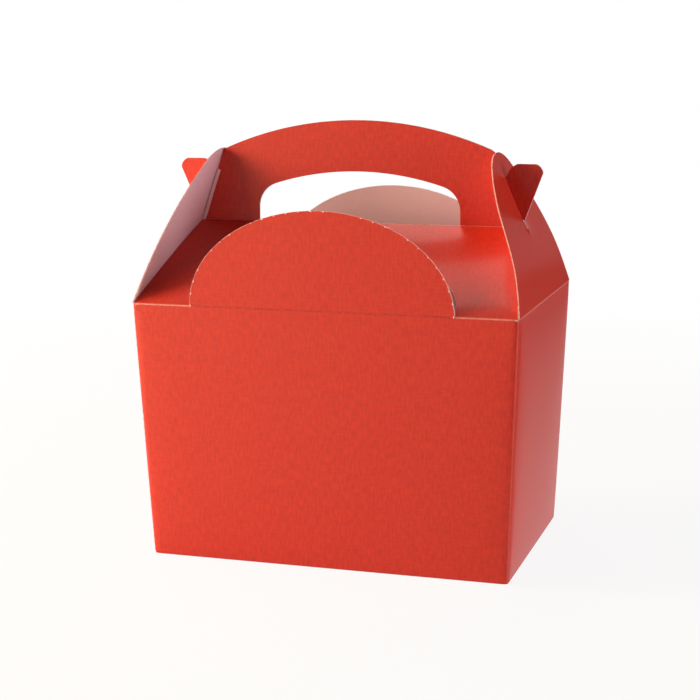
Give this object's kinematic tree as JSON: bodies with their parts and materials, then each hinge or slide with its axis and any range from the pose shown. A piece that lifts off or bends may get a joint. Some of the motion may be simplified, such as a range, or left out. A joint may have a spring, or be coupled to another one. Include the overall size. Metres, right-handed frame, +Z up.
{
  "type": "folding paperboard lunch box",
  "caption": "Tapered folded paperboard lunch box with a sloping gable roof, leaning arched end flaps, half-moon pop-ups and a double carrying handle whose hooked ears lock through end slots.",
  "frame": {"origin": "on the floor under the middle of the base", "axes": "+Z up, +X to the right and -Y towards the viewer of the front wall"},
  "size_m": [0.152, 0.1046, 0.1695],
  "materials": {
    "lacquered_board": "red satin lacquer outside, pale uncoated board inside and at the cut edges"
  },
  "bodies": {
    "carton": {"front_panel": "lacquered_board", "back_panel": "lacquered_board", "right_side_panel": "lacquered_board", "left_side_panel": "lacquered_board", "seam_glue_tab": "lacquered_board", "base_lock_panel": "lacquered_board", "base_main_panel": "lacquered_board", "base_right_flap": "lacquered_board", "base_left_flap": "lacquered_board"},
    "front_roof": {"front_roof_panel": "lacquered_board"},
    "back_roof": {"back_roof_panel": "lacquered_board"},
    "front_handle": {"front_handle": "lacquered_board", "front_right_ear": "lacquered_board", "front_left_ear": "lacquered_board"},
    "back_handle": {"back_handle": "lacquered_board", "back_right_ear": "lacquered_board", "back_left_ear": "lacquered_board"},
    "front_dome": {"front_dome": "lacquered_board"},
    "back_dome": {"back_dome": "lacquered_board"},
    "right_flap": {"right_end_flap": "lacquered_board", "right_slot_lip": "lacquered_board"},
    "left_flap": {"left_end_flap": "lacquered_board", "left_slot_lip": "lacquered_board"}
  },
  "joints": [
    {"name": "right_flap_fold", "type": "hinge", "parent": "carton", "child": "right_flap", "pos_m": [0.076, 0, 0.1015], "axis": [0, 1, 0], "range_deg": [0, 110], "deforming": ["front_right_ear", "front_left_ear", "back_right_ear", "back_left_ear", "right_slot_lip", "left_slot_lip"]},
    {"name": "left_flap_fold", "type": "hinge", "parent": "carton", "child": "left_flap", "pos_m": [-0.076, 0, 0.1015], "axis": [0, -1, 0], "range_deg": [0, 110]},
    {"name": "front_roof_fold", "type": "hinge", "parent": "carton", "child": "front_roof", "pos_m": [0, -0.05075, 0.1015], "axis": [1, 0, 0], "range_deg": [0, 88]},
    {"name": "back_roof_fold", "type": "hinge", "parent": "carton", "child": "back_roof", "pos_m": [0, 0.05075, 0.1015], "axis": [-1, 0, 0], "range_deg": [0, 88]},
    {"name": "front_handle_fold", "type": "hinge", "parent": "front_roof", "child": "front_handle", "pos_m": [0, -0.0006, 0.1291], "axis": [-1, 0, 0], "range_deg": [0, 60.5]},
    {"name": "back_handle_fold", "type": "hinge", "parent": "back_roof", "child": "back_handle", "pos_m": [0, 0.0006, 0.1291], "axis": [1, 0, 0], "range_deg": [0, 60.5]},
    {"name": "front_dome_fold", "type": "hinge", "parent": "carton", "child": "front_dome", "pos_m": [0, -0.05075, 0.1015], "axis": [-1, 0, 0], "range_deg": [0, 63.5]},
    {"name": "back_dome_fold", "type": "hinge", "parent": "carton", "child": "back_dome", "pos_m": [0, 0.05075, 0.1015], "axis": [1, 0, 0], "range_deg": [0, 63.5]}
  ],
  "couplings": [
    {"joint": "left_flap_fold", "follows": "right_flap_fold", "ratio": 1},
    {"joint": "front_roof_fold", "follows": "right_flap_fold", "ratio": 0.8},
    {"joint": "back_roof_fold", "follows": "right_flap_fold", "ratio": 0.8},
    {"joint": "front_handle_fold", "follows": "right_flap_fold", "ratio": 0.55},
    {"joint": "back_handle_fold", "follows": "right_flap_fold", "ratio": 0.55}
  ]
}
